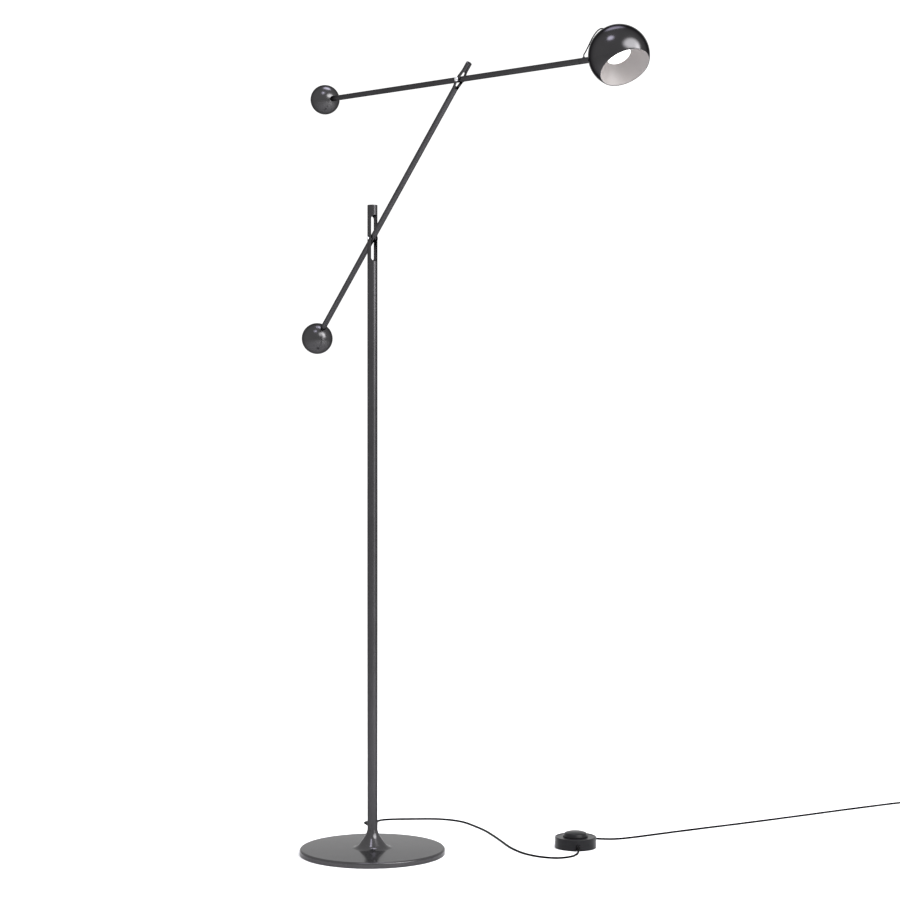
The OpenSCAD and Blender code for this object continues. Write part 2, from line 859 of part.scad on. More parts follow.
base_cover();
ballast_disc();
base_pad();
pole_stud();
stud_nut();
pole_foot();
pole_tube();
pole_slot_part();
pole_cap();
pole_wire();
cord_gland();
lower_pin();
lower_pin_caps();
lower_arm_tube();
lower_arm_eye();
lower_bush();
lower_ball();
lower_ball_stud();
lower_arm_wire();
upper_pin();
upper_pin_caps();
upper_arm_tube();
upper_bush();
upper_ball();
upper_ball_stud();
upper_arm_wire();
swivel_spigot();
head_sleeve();
seat_cup();
seat_magnet();
lead_grommet();
head_lead();
head_shell();
reflector();
light_disc();
led_board();
heat_sink();
board_screws();
head_grommet();
cord_to_switch();
switch_feet();
switch_floor();
switch_housing();
switch_screws();
contact_block();
button_spring();
foot_button();
relief_in();
relief_out();
cord_to_plug();
cord_coil();
coil_tie();
cord_tail();
plug_relief();
plug_body();
plug_blades();
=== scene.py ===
"""Adjustable arm floor lamp: the visual model on its CAD frame, with its camera and light.

The frame's origin is on the floor under the pole, +Z is up and +X is the side the head reaches to.
Sizes in the constants are millimetres, as in the part's source; helpers turn them into metres.
"""
import math

import bmesh
import bpy
from mathutils import Matrix, Vector


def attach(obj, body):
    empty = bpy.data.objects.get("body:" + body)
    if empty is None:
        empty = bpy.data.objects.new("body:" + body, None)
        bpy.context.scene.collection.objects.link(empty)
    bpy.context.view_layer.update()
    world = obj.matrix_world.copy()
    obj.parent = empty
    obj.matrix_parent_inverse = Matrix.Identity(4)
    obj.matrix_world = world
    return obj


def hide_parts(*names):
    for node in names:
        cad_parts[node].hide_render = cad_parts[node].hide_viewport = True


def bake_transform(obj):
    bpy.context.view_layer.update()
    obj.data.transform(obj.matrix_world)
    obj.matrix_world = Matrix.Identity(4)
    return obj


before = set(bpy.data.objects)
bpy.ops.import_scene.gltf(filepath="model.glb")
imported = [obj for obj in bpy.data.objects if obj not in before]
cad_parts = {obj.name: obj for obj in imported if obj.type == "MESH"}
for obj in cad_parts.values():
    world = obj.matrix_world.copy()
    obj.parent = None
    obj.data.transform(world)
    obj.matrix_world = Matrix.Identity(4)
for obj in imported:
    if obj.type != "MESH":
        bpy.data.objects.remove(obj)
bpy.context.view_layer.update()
MM = 0.001
ON_AXIS = 1e-6

# ---------------------------------------------------------------- driving dimensions, mm

BASE_R = 141.0
BASE_T = 11.3
COVER_T = 1.6
COVER_LOW_Z = 0.5
RIM_EDGE_R = 4.0
NECK_Z = 46.5
NECK_CURVE_R = 40.0
FOOT_CURVE_R = 18.0
FLARE_START = 11.0
FLARE_TURN = 37.0
POLE_R = 9.8
POLE_WALL = 2.1
POLE_TOP = 1256.0
SLOT_W = 14.2
SLOT_L = 90.0
POLE_CAP_T = 1.9
POLE_PLUG_R = 7.6
POLE_PLUG_DEPTH = 8.0
PIVOT_Z = 1191.5
GLAND_Z = 54.0
GLAND_STEM_R = 3.1
GLAND_COLLAR_R = 4.4
GLAND_TIP_X = 22.0

LOWER_R = 5.55
LOWER_RISE = 41.4
LOWER_FRONT = 395.0
LOWER_BACK = 278.5
LOWER_BALL_R = 31.4
LOWER_CAP_R = 3.3
WASHER_IN_R = 2.6
WASHER_R = 4.4
WASHER_T = 1.0
BALL_SOCKET = 2.5
BALL_MOUTH_GAP = 0.03

UPPER_R = 5.2
UPPER_DROP = 4.1
UPPER_FRONT = 450.0
UPPER_BACK = 475.5
UPPER_BALL_R = 29.4
UPPER_CAP_R = 4.3
CAP_T = 2.6

EYE_START = -26.0
EYE_TIP = 37.5
EYE_BOW = 2.5
EYE_BOW_HALF = 23.0
EYE_GAP_HALF = 19.0
EYE_GAP_STEPS = 38
EYE_SIDE_STEPS = 24
PRONG_IN = 4.0

SLEEVE_START = 352.0
SPIGOT_HOLE_R = 2.86
MAGNET_HOLE_R = 3.62
MAGNET_HOLE_L = 6.6
LEAD_ROOT = 358.5
HEAD_R = 50.2
HEAD_AIM = 55.5
RIM_H = 26.6
SHELL_T = 1.2
DISC_R = 20.0
DISC_T = 2.2
LEAD_D = 2.0
SEAT_L = 9.0
SEAT_START = UPPER_FRONT - HEAD_R - SEAT_L

SWITCH_CENTRE = (180.4, 358.15)
SWITCH_TURN = -31.6
SWITCH_H = 22.0
BUTTON_R = 24.2
BUTTON_TOP_R = 20.8
BUTTON_EDGE_Z = 30.2
BUTTON_SKIRT_Z = 12.0
COLLAR_R = 26.2
COLLAR_DEPTH = 3.3
CORD_D = 4.0
COIL_CENTRE = (252.0, 1290.0)
PLUG_BACK = (299.0, 1270.0, 10.0)

# Cord from the pole to the foot switch, one point after another along the floor
TO_SWITCH_ROUTE = [
    (-22.05, 0, 54), (-27, 0, 54), (-34, 4.5, 53.6), (-42, 13, 52.4), (-54, 27, 49), (-72, 44, 43),
    (-95, 63, 35), (-120, 81, 26), (-145, 99, 17.5), (-168, 115, 10.5), (-190, 130, 5.2),
    (-210, 143, 2.6), (-229, 155.5, 2), (-248, 168, 2), (-261, 181, 2), (-262.5, 200, 2),
    (-252, 224, 2), (-235, 252, 2), (-216, 281, 2), (-197, 301, 2), (-172, 314, 2),
    (-140, 319, 2), (-95, 313, 2), (-46, 303, 2), (10, 285, 2), (65, 265, 2),
    (115, 247, 2), (159, 237, 2), (185, 235.5, 2), (210, 239.5, 2), (233, 250, 2),
    (247, 265, 2), (251, 283, 2), (248, 300, 2), (244.5, 306.3, 2), (238.2, 316.8, 2.5),
    (231.6, 324.65, 4.5), (225.2, 330.4, 6.9), (220.22, 333.65, 8), (216.04, 336.22, 8),
]

# Cord from the foot switch to its coil
TO_COIL_ROUTE = [
    (144.76, 380.08, 8), (140.58, 382.65, 8), (131.5, 389.2, 6.4), (123.5, 397.6, 4),
    (119.8, 408.3, 2.4), (122, 418.5, 2), (129, 427, 2), (139, 435, 2), (151, 445, 2),
    (162, 457, 2), (170, 471, 2), (174.5, 490, 2), (177, 515, 2), (179, 550, 2), (181.5, 600, 2),
    (184.5, 650, 2), (188, 700, 2), (192, 750, 2), (195.5, 800, 2), (198.5, 850, 2),
    (201, 900, 2), (203.5, 950, 2), (206, 1010, 2), (209, 1080, 2), (213, 1150, 2),
    (217, 1210, 2), (220, 1245, 2), (221.5, 1270, 2), (221.9, 1290, 2),
]

# Cord from the coil to the plug
TAIL_ROUTE = [
    (252, 1320.1, 10), (262, 1320.1, 10), (272, 1320, 10), (281, 1318.5, 10), (289, 1314.5, 10),
    (294.6, 1309, 10), (297.8, 1303, 10), (299, 1297, 10), (299, 1292.05, 10),
]

# Head's lead, in the arms' plane, measured from the head's centre
LEAD_ROUTE = [
    (-90.8, 0, 13.4), (-90.55, 0, 16.4), (-86.5, 0, 20.2), (-82.5, 0, 24.4), (-78, 0, 29.2),
    (-73, 0, 35.3), (-67.6, 0, 41), (-61, 0, 46.2), (-54.5, 0, 49.8), (-48.5, 0, 51.5),
    (-42.5, 0, 51.3), (-36.5, 0, 49.5), (-32.6, 0, 46.7), (-29.95, 0, 43.55),
]

# ---------------------------------------------------------------- camera

CAMERA_AZIMUTH = 57.632
CAMERA_DISTANCE = 3.736
CAMERA_HEIGHT = 0.7814
CAMERA_YAW = 2.306
CAMERA_LENS = 77.05
CAMERA_SENSOR = 36.0
CAMERA_REACH = 60.0


def add_camera():
    """Level camera that looks a little to the right of the pole."""
    turn = math.radians(CAMERA_AZIMUTH)
    data = bpy.data.cameras.new("camera")
    data.sensor_width = CAMERA_SENSOR
    data.lens = CAMERA_LENS
    data.clip_end = CAMERA_REACH
    camera = bpy.data.objects.new("camera", data)
    camera.location = (
        CAMERA_DISTANCE * math.sin(turn), -CAMERA_DISTANCE * math.cos(turn), CAMERA_HEIGHT)
    camera.rotation_euler = (
        math.radians(90), 0, math.radians(CAMERA_AZIMUTH - CAMERA_YAW))
    bpy.context.collection.objects.link(camera)
    bpy.context.scene.camera = camera


add_camera()

# ---------------------------------------------------------------- places


def along_y(side):
    """Turns a lathe's upright axis to point along side * Y."""
    return Matrix.Rotation(math.radians(-90 * side), 4, "X")


upper_pivot = Vector((
    LOWER_FRONT * math.cos(math.radians(LOWER_RISE)), 0,
    PIVOT_Z + LOWER_FRONT * math.sin(math.radians(LOWER_RISE)))) * MM
head_centre = upper_pivot + UPPER_FRONT * MM * Vector((
    math.cos(math.radians(UPPER_DROP)), 0, -math.sin(math.radians(UPPER_DROP))))

# Turns a lathe's upright axis to run along +X
ALONG_X = Matrix.Rotation(math.radians(90), 4, "Y")

STAND = Matrix.Identity(4)
LOWER_PIVOT = Matrix.Translation((0, 0, PIVOT_Z * MM))
LOWER_ARM = LOWER_PIVOT @ Matrix.Rotation(math.radians(-LOWER_RISE), 4, "Y")
EYE = LOWER_ARM @ Matrix.Translation((LOWER_FRONT * MM, 0, 0))
UPPER_ARM = Matrix.Translation(upper_pivot) @ Matrix.Rotation(math.radians(UPPER_DROP), 4, "Y")
HEAD = Matrix.Translation(head_centre) @ Matrix.Rotation(math.radians(90 + HEAD_AIM), 4, "Y")
SWITCH = (Matrix.Translation((SWITCH_CENTRE[0] * MM, SWITCH_CENTRE[1] * MM, 0))
          @ Matrix.Rotation(math.radians(SWITCH_TURN), 4, "Z"))
PLUG = Matrix.Translation(Vector(PLUG_BACK) * MM) @ Matrix.Rotation(math.radians(-90), 4, "Z")

# ---------------------------------------------------------------- shapes


def arc(centre, radius, start, end, step=5.0):
    """Points on a circle in an outline's plane, from one angle to another in degrees."""
    count = max(2, round(abs(end - start) / step))
    angles = [math.radians(start + (end - start) * i / count) for i in range(count + 1)]
    return [(centre[0] + radius * math.cos(a), centre[1] + radius * math.sin(a)) for a in angles]


def rounded(corners, steps=4):
    """Outline in which each corner given as (r, z, fillet) becomes a smooth curve."""
    points = []
    for i, corner in enumerate(corners):
        here = Vector(corner[:2])
        if len(corner) < 3 or i in (0, len(corners) - 1):
            points.append(tuple(here))
            continue
        to_last = (Vector(corners[i - 1][:2]) - here).normalized()
        to_next = (Vector(corners[i + 1][:2]) - here).normalized()
        start = here + to_last * corner[2]
        end = here + to_next * corner[2]
        for k in range(steps + 1):
            t = k / steps
            points.append(tuple((1 - t) ** 2 * start + 2 * t * (1 - t) * here + t * t * end))
    return points


def mesh_object(name, vertices, faces, place):
    """Mesh piece at its place in the frame, with its faces turned outwards."""
    mesh = bpy.data.meshes.new(name)
    mesh.from_pydata(vertices, [], faces)
    mesh.transform(place)
    shape = bmesh.new()
    shape.from_mesh(mesh)
    bmesh.ops.recalc_face_normals(shape, faces=shape.faces)
    shape.to_mesh(mesh)
    shape.free()
    soften(mesh)
    piece = bpy.data.objects.new(name, mesh)
    bpy.context.collection.objects.link(piece)
    return piece


def soften(mesh, sharp=32.0):
    """Smooth shading, but for edges that turn by more than an angle in degrees."""
    mesh.shade_smooth()
    mesh.set_sharp_from_angle(angle=math.radians(sharp))


def lathe_data(outline, steps):
    """Vertices and faces of an outline in (radius, height), mm, turned about the upright axis."""
    vertices = []
    faces = []
    rings = []
    for radius, height in outline:
        if radius < ON_AXIS:
            rings.append([len(vertices)] * steps)
            vertices.append((0, 0, height * MM))
            continue
        rings.append([len(vertices) + k for k in range(steps)])
        for k in range(steps):
            turn = 2 * math.pi * k / steps
            vertices.append(
                (radius * math.cos(turn) * MM, radius * math.sin(turn) * MM, height * MM))
    closed = outline[0][0] < ON_AXIS and outline[-1][0] < ON_AXIS
    pairs = list(zip(rings, rings[1:]))
    if not closed:
        pairs.append((rings[-1], rings[0]))
    for low, high in pairs:
        for k in range(steps):
            n = (k + 1) % steps
            face = list(dict.fromkeys([low[k], low[n], high[n], high[k]]))
            if len(face) > 2:
                faces.append(face)
    return vertices, faces


def lathe(name, outline, place=STAND, steps=128):
    """Turned piece from an outline; an outline that leaves the axis is closed into a ring."""
    vertices, faces = lathe_data(outline, steps)
    return mesh_object(name, vertices, faces, place)


def ribs(count, start, pitch, size, growth, profile):
    """Outline of a row of ribs; each repeats a profile of steps from its own size and start."""
    return [
        (size + growth * rib + out, start + pitch * rib + along)
        for rib in range(count) for out, along in profile]


def swept(name, rings, place=STAND):
    """Closed mesh through rings of points that all have the same count."""
    count = len(rings[0])
    vertices = [point for points in rings for point in points]
    faces = [
        [i * count + k, i * count + (k + 1) % count,
         (i + 1) * count + (k + 1) % count, (i + 1) * count + k]
        for i in range(len(rings) - 1) for k in range(count)
    ]
    faces.append(list(range(count))[::-1])
    faces.append([(len(rings) - 1) * count + k for k in range(count)])
    return mesh_object(name, vertices, faces, place)


def smooth_route(route, steps=5):
    """Points on a smooth curve through a route given in mm, in metres."""
    points = [Vector(p) * MM for p in route]
    ends = [2 * points[0] - points[1]] + points + [2 * points[-1] - points[-2]]
    curve = []
    for a, b, c, d in zip(ends, ends[1:], ends[2:], ends[3:]):
        for k in range(steps):
            t = k / steps
            curve.append(0.5 * (
                2 * b + (c - a) * t + (2 * a - 5 * b + 4 * c - d) * t * t
                + (3 * b - a - 3 * c + d) * t ** 3))
    return curve + [points[-1]]


def tube_rings(points, radius):
    """Rings of a round tube along points that lie in a plane across Y."""
    sides = 20
    rings = []
    for i, point in enumerate(points):
        ahead = (points[min(i + 1, len(points) - 1)] - points[max(i - 1, 0)]).normalized()
        side = Vector((0, 1, 0))
        over = ahead.cross(side).normalized()
        rings.append([
            point + radius * (math.cos(a) * side + math.sin(a) * over)
            for a in (2 * math.pi * k / sides for k in range(sides))])
    return rings


def curve_cord(name, points, diameter):
    """Round cord as a curve through points."""
    data = bpy.data.curves.new(name, "CURVE")
    data.dimensions = "3D"
    data.bevel_depth = diameter / 2
    data.bevel_resolution = 5
    data.use_fill_caps = True
    spline = data.splines.new("POLY")
    spline.points.add(len(points) - 1)
    for spot, point in zip(spline.points, points):
        spot.co = (*point, 1)
    spline.use_smooth = True
    cord = bpy.data.objects.new(name, data)
    bpy.context.collection.objects.link(cord)
    return cord


def cut(body, cutter):
    """Takes the cutter's shape out of the body's mesh."""
    modifier = body.modifiers.new("cut", "BOOLEAN")
    modifier.operation = "DIFFERENCE"
    modifier.solver = "EXACT"
    modifier.object = cutter
    bpy.context.view_layer.update()
    result = bpy.data.meshes.new_from_object(
        body.evaluated_get(bpy.context.evaluated_depsgraph_get()))
    body.modifiers.clear()
    body.data = result
    soften(result)
    bpy.data.objects.remove(cutter)


def join(name, pieces):
    """One mesh piece from several."""
    meshes = [piece.data for piece in pieces]
    shape = bmesh.new()
    for mesh in meshes:
        shape.from_mesh(mesh)
    joined = bpy.data.meshes.new(name)
    shape.to_mesh(joined)
    shape.free()
    for piece, mesh in zip(pieces, meshes):
        bpy.data.objects.remove(piece)
        bpy.data.meshes.remove(mesh)
    soften(joined)
    piece = bpy.data.objects.new(name, joined)
    bpy.context.collection.objects.link(piece)
    return piece


# ---------------------------------------------------------------- materials


def plain_nodes(name):
    """New material with its node tree, shader and object coordinates."""
    material = bpy.data.materials.new(name)
    material.use_nodes = True
    tree = material.node_tree
    shader = tree.nodes["Principled BSDF"]
    coordinates = tree.nodes.new("ShaderNodeTexCoord")
    return material, tree, shader, coordinates.outputs["Object"]


def noise(tree, coordinates, scale, detail=4.0, stretch=None):
    """Noise texture, which may be stretched along one axis as brushing is."""
    texture = tree.nodes.new("ShaderNodeTexNoise")
    texture.inputs["Scale"].default_value = scale
    texture.inputs["Detail"].default_value = detail
    if stretch is not None:
        mapping = tree.nodes.new("ShaderNodeMapping")
        mapping.inputs["Scale"].default_value = stretch
        tree.links.new(coordinates, mapping.inputs["Vector"])
        coordinates = mapping.outputs["Vector"]
    tree.links.new(coordinates, texture.inputs["Vector"])
    return texture.outputs["Fac"]


def spread(tree, value, low, high):
    """Maps a noise value to a range."""
    node = tree.nodes.new("ShaderNodeMapRange")
    node.inputs["From Min"].default_value = 0.3
    node.inputs["From Max"].default_value = 0.7
    node.inputs["To Min"].default_value = low
    node.inputs["To Max"].default_value = high
    tree.links.new(value, node.inputs["Value"])
    return node.outputs["Result"]


def mottled(name, dark, light, roughness, metallic=0.0, patch=18.0, grain=900.0, bump=0.02,
            stretch=None, edge=1.0, shine=0.5):
    """Surface whose colour drifts in soft patches and whose gloss and relief follow a grain."""
    material, tree, shader, coordinates = plain_nodes(name)
    ramp = tree.nodes.new("ShaderNodeValToRGB")
    ramp.color_ramp.elements[0].position = 0.35
    ramp.color_ramp.elements[0].color = (*dark, 1)
    ramp.color_ramp.elements[1].position = 0.65
    ramp.color_ramp.elements[1].color = (*light, 1)
    tree.links.new(noise(tree, coordinates, patch), ramp.inputs["Fac"])
    tree.links.new(ramp.outputs["Color"], shader.inputs["Base Color"])
    fine = noise(tree, coordinates, grain, 2.0, stretch)
    tree.links.new(spread(tree, fine, *roughness), shader.inputs["Roughness"])
    relief = tree.nodes.new("ShaderNodeBump")
    relief.inputs["Strength"].default_value = bump
    relief.inputs["Distance"].default_value = 0.0002
    tree.links.new(fine, relief.inputs["Height"])
    tree.links.new(relief.outputs["Normal"], shader.inputs["Normal"])
    shader.inputs["Metallic"].default_value = metallic
    shader.inputs["Specular Tint"].default_value = (edge, edge, edge, 1)
    shader.inputs["Specular IOR Level"].default_value = shine
    return material


def light_panel():
    """Opal panel whose glow varies a little in soft patches."""
    material, tree, shader, coordinates = plain_nodes("opal_light")
    soft = noise(tree, coordinates, 60.0, 2.0)
    tree.links.new(spread(tree, soft, 1.04, 1.10), shader.inputs["Emission Strength"])
    shader.inputs["Base Color"].default_value = (0.9, 0.9, 0.9, 1)
    shader.inputs["Emission Color"].default_value = (1.0, 0.985, 0.96, 1)
    shader.inputs["Roughness"].default_value = 0.4
    return material


paint = mottled("gunmetal_paint", (0.046, 0.045, 0.047), (0.052, 0.051, 0.054), (0.24, 0.30),
                metallic=1.0, grain=1400.0, bump=0.015, edge=0.40)
base_paint = mottled("gunmetal_base", (0.052, 0.051, 0.053), (0.058, 0.057, 0.059), (0.13, 0.18),
                     metallic=0.75, grain=1400.0, bump=0.005, edge=0.72, shine=0.0)
ball_paint = mottled("gunmetal_balls", (0.050, 0.049, 0.051), (0.058, 0.057, 0.059), (0.19, 0.24),
                     metallic=1.0, grain=1200.0, bump=0.005, edge=0.40)
head_paint = mottled("gunmetal_head", (0.040, 0.039, 0.041), (0.046, 0.045, 0.047), (0.14, 0.18),
                     metallic=1.0, grain=1200.0, bump=0.005, edge=0.35)
bright_steel = mottled("bright_steel", (0.60, 0.60, 0.62), (0.66, 0.66, 0.68), (0.12, 0.20),
                       metallic=1.0, grain=700.0)
zinc = mottled("zinc_plate", (0.45, 0.45, 0.44), (0.55, 0.55, 0.56), (0.30, 0.42), metallic=1.0,
               patch=60.0)
iron = mottled("raw_iron", (0.05, 0.05, 0.05), (0.09, 0.085, 0.08), (0.6, 0.8), metallic=0.6,
               grain=300.0, bump=0.3)
rubber = mottled("soft_rubber", (0.007, 0.007, 0.008), (0.011, 0.011, 0.012), (0.50, 0.62),
                 grain=1500.0, bump=0.05, shine=0.3)
sheath = mottled("cord_sheath", (0.003, 0.003, 0.003), (0.005, 0.005, 0.005), (0.50, 0.60),
                 grain=1100.0, bump=0.04, shine=0.04)
switch_plastic = mottled("switch_plastic", (0.007, 0.007, 0.008), (0.009, 0.009, 0.010),
                         (0.28, 0.36), grain=2200.0, bump=0.05, shine=0.12)
plug_plastic = mottled("plug_plastic", (0.020, 0.020, 0.022), (0.026, 0.026, 0.028),
                       (0.35, 0.45), grain=1800.0, bump=0.08)
pale_plastic = mottled("pale_plastic", (0.62, 0.60, 0.54), (0.68, 0.66, 0.60), (0.35, 0.45),
                       grain=900.0, bump=0.05)
reflector_coat = mottled("reflector_coat", (0.20, 0.184, 0.181), (0.22, 0.203, 0.199),
                         (0.42, 0.50), grain=900.0)
board_white = mottled("board_white", (0.70, 0.70, 0.66), (0.76, 0.76, 0.72), (0.30, 0.40),
                      grain=400.0, bump=0.05)
raw_aluminium = mottled("raw_aluminium", (0.55, 0.55, 0.56), (0.62, 0.62, 0.63), (0.28, 0.40),
                        metallic=1.0, grain=500.0, bump=0.05, stretch=(1, 12, 1))
opal = light_panel()


def keep_node(name, material, sharp=30.0):
    """Shows a CAD node as it is, with a finish and smooth shading."""
    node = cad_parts[name]
    node.data.materials.clear()
    node.data.materials.append(material)
    soften(node.data, sharp)


def add(piece, body, material, slot, *replaced):
    """Finishes a piece: its material, its CAD body and the nodes that it stands for; its slot is
    not used.
    """
    piece.data.materials.clear()
    piece.data.materials.append(material)
    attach(piece, body)
    if replaced:
        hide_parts(*replaced)


# ---------------------------------------------------------------- mains cord


def coil_points():
    """Cord wound in layers inside the coil's ring: in, up, out, up and away to the plug."""
    start_r = 30.1
    outer_r = 26.0
    inner_r = 18.0
    low, middle, high = 2.0, 6.02, 10.04
    step = 12
    longest_ease = 200
    stages = [
        (180, outer_r, low), (900, inner_r, low), (960, inner_r, middle), (1680, outer_r, middle),
        (1740, outer_r, high), (1830, outer_r, high), (1890, start_r, TAIL_ROUTE[0][2]),
    ]
    last = (0, start_r, low)
    points = []
    for stage in stages:
        count = max(2, round((stage[0] - last[0]) / step))
        for k in range(1, count + 1):
            t = k / count
            ease = t * t * (3 - 2 * t)
            share = t if stage[0] - last[0] > longest_ease else ease
            turn = math.radians(180 - (last[0] + (stage[0] - last[0]) * t))
            radius = last[1] + (stage[1] - last[1]) * share
            height = last[2] + (stage[2] - last[2]) * ease
            points.append(Vector((
                COIL_CENTRE[0] + radius * math.cos(turn),
                COIL_CENTRE[1] + radius * math.sin(turn), height)) * MM)
        last = stage
    return points[:-1]


def add_cords():
    """Cord to the foot switch, and from there through its coil to the plug."""
    first = smooth_route(TO_SWITCH_ROUTE)
    cord = curve_cord("cord_from_pole", first, CORD_D * MM)
    add(cord, "stand", sheath, "cord", "cord_to_switch")
    second = smooth_route(TO_COIL_ROUTE) + coil_points() + smooth_route(TAIL_ROUTE)
    cord = curve_cord("cord_to_plug_end", second, CORD_D * MM)
    add(cord, "stand", sheath, "cord", "cord_to_plug", "cord_coil", "cord_tail")


# ---------------------------------------------------------------- base and pole


def flare(inset):
    """Outline of the trumpet-shaped neck from the pole down to the plate."""
    start = math.radians(FLARE_START)
    turn = math.radians(FLARE_TURN)
    centre = (POLE_R + NECK_CURVE_R * math.cos(start), NECK_Z + NECK_CURVE_R * math.sin(start))
    slope = ((centre[1] - BASE_T - FOOT_CURVE_R)
             + (FOOT_CURVE_R - NECK_CURVE_R) * math.sin(turn)) / math.cos(turn)
    foot_x = (centre[0] + slope * math.sin(turn)
              + (FOOT_CURVE_R - NECK_CURVE_R) * math.cos(turn))
    upper = arc(centre, -(NECK_CURVE_R + inset), FLARE_START, FLARE_TURN, 1.5)
    lower = arc((foot_x, BASE_T + FOOT_CURVE_R), -(FOOT_CURVE_R + inset), FLARE_TURN, 90, 2.5)
    return upper + lower


def add_base():
    """Spun cover; the weight, pad, stud and foot inside it stay as the CAD has them."""
    rim = arc((BASE_R - RIM_EDGE_R, BASE_T - RIM_EDGE_R), RIM_EDGE_R, 90, 0)
    rim += [(BASE_R, COVER_LOW_Z), (BASE_R - COVER_T, COVER_LOW_Z),
            (BASE_R - COVER_T, BASE_T - COVER_T)]
    cover = lathe("base_cover_spun", flare(0) + rim + flare(COVER_T)[::-1], steps=256)
    add(cover, "stand", base_paint, "gunmetal", "base_cover")
    keep_node("ballast_disc", iron)
    keep_node("base_pad", rubber)
    keep_node("pole_stud", zinc)
    keep_node("stud_nut", zinc)
    keep_node("pole_foot", zinc)


def add_pole():
    """Slotted tube, its cap, and the lower pivot's pin, washers and caps."""
    inner = POLE_R - POLE_WALL
    shoulder = POLE_TOP - POLE_CAP_T
    tube = lathe("pole_slotted", [
        (inner, NECK_Z), (POLE_R, NECK_Z), (POLE_R, shoulder), (inner, shoulder)])
    end_z = (SLOT_L - SLOT_W) / 2
    loop = [(y, z + end_z) for y, z in arc((0, 0), SLOT_W / 2, 0, 180)]
    loop += [(-y, -z) for y, z in loop]
    cutter = swept("pole_slot", [
        [Vector((x, y, PIVOT_Z + z)) * MM for y, z in loop] for x in (-2 * POLE_R, 2 * POLE_R)])
    cut(tube, cutter)
    add(tube, "stand", paint, "gunmetal", "pole_tube", "pole_slot_part")
    keep_node("pole_wire", sheath)
    keep_node("lower_pin", zinc)
    plug_z = POLE_TOP - POLE_PLUG_DEPTH
    cap = lathe("pole_end_cap", rounded([
        (0, plug_z), (POLE_PLUG_R, plug_z, 0.4), (POLE_PLUG_R, shoulder), (POLE_R, shoulder),
        (POLE_R, POLE_TOP, 0.6), (0, POLE_TOP)]))
    add(cap, "stand", paint, "gunmetal", "pole_cap")
    washer_top = POLE_R + 0.1
    washer_low = washer_top - WASHER_T
    washer_outline = rounded([
        (WASHER_IN_R, washer_low), (WASHER_R, washer_low, 0.25), (WASHER_R, washer_top, 0.25),
        (WASHER_IN_R, washer_top)])
    for side, name in ((-1, "left"), (1, "right")):
        place = LOWER_PIVOT @ along_y(side)
        washer = lathe(f"lower_washer_{name}", washer_outline, place, 64)
        add(washer, "stand", paint, "gunmetal")
    crown = POLE_R + CAP_T
    outline = rounded([
        (0, POLE_R), (LOWER_CAP_R, POLE_R), (LOWER_CAP_R, crown - 0.8, 0.4),
        (1.6, crown - 0.05, 0.8), (0, crown)])
    caps = join("lower_caps", [
        lathe("lower_cap", outline, LOWER_PIVOT @ along_y(side), 64) for side in (-1, 1)])
    add(caps, "stand", bright_steel, "bright", "lower_pin_caps")


def add_gland():
    """Ribbed strain relief in the pole's back."""
    collar = POLE_R - 0.6
    outline = [
        (0, -3), (GLAND_STEM_R, -3), (GLAND_STEM_R, collar), (GLAND_COLLAR_R, collar),
        (GLAND_COLLAR_R, POLE_R + 1.7), (GLAND_COLLAR_R - 0.5, POLE_R + 2.1)]
    rib_profile = [(0, 0), (0, 1.3), (-0.55, 1.6), (-0.55, 2.1)]
    outline += ribs(4, POLE_R + 2.4, 2.3, 3.7, -0.25, rib_profile)
    outline += [(2.5, GLAND_TIP_X - 0.4), (2.2, GLAND_TIP_X), (0, GLAND_TIP_X)]
    place = (Matrix.Translation((0, 0, GLAND_Z * MM))
             @ Matrix.Rotation(math.radians(-90), 4, "Y"))
    add(lathe("cord_strain_relief", outline, place, 48), "stand", rubber, "rubber", "cord_gland")


# ---------------------------------------------------------------- arms


def ball(name, radius, arm_r, place):
    """Ball with a shallow socket on its +X side, which the arm's end sits in."""
    mouth = arm_r + BALL_MOUTH_GAP
    start = math.degrees(math.acos(mouth / radius))
    floor = radius - BALL_SOCKET
    outline = ([(0, floor), (mouth, floor)]
               + arc((0, 0), radius, start - 0.4, -90, 2.0)[:-1] + [(0, -radius)])
    return lathe(name, outline, place @ ALONG_X, 160)


def bow_at(u):
    """How far the eye's sides stand out of the tube's line."""
    if abs(u) >= EYE_BOW_HALF:
        return 0.0
    return EYE_BOW / 2 * (1 + math.cos(math.pi * u / EYE_BOW_HALF))


def eye_ring(u, radius):
    """Cross-section of the eye: two half circles that the bow moves apart."""
    points = []
    for side in (1, -1):
        for k in range(EYE_SIDE_STEPS):
            a = math.radians((-90 if side > 0 else 90) + 180 * (k + 0.5) / EYE_SIDE_STEPS)
            points.append(Vector((
                u, side * bow_at(u) + radius * math.cos(a), radius * math.sin(a))) * MM)
    return points


def add_eye():
    """Forked eye: a bowed body with a gap that follows its bow, and a softened solid tip."""
    stations = [EYE_START, *range(int(EYE_START) + 1, int(EYE_TIP)), EYE_TIP - 0.5]
    rings = [eye_ring(u, LOWER_R) for u in stations]
    rings.append(eye_ring(EYE_TIP - 0.15, LOWER_R - 0.15))
    rings.append(eye_ring(EYE_TIP, LOWER_R - 0.5))
    body = swept("lower_eye_fork", rings, EYE)
    reach = [EYE_GAP_HALF * (2 * k / EYE_GAP_STEPS - 1) for k in range(EYE_GAP_STEPS + 1)]
    loop = ([(u, -(PRONG_IN + bow_at(u))) for u in reach]
            + [(u, PRONG_IN + bow_at(u)) for u in reversed(reach)])
    cutter = swept("eye_gap", [
        [Vector((u, y, z)) * MM for u, y in loop] for z in (-2 * LOWER_R, 2 * LOWER_R)], EYE)
    cut(body, cutter)
    add(body, "lower_arm", paint, "gunmetal", "lower_arm_eye")


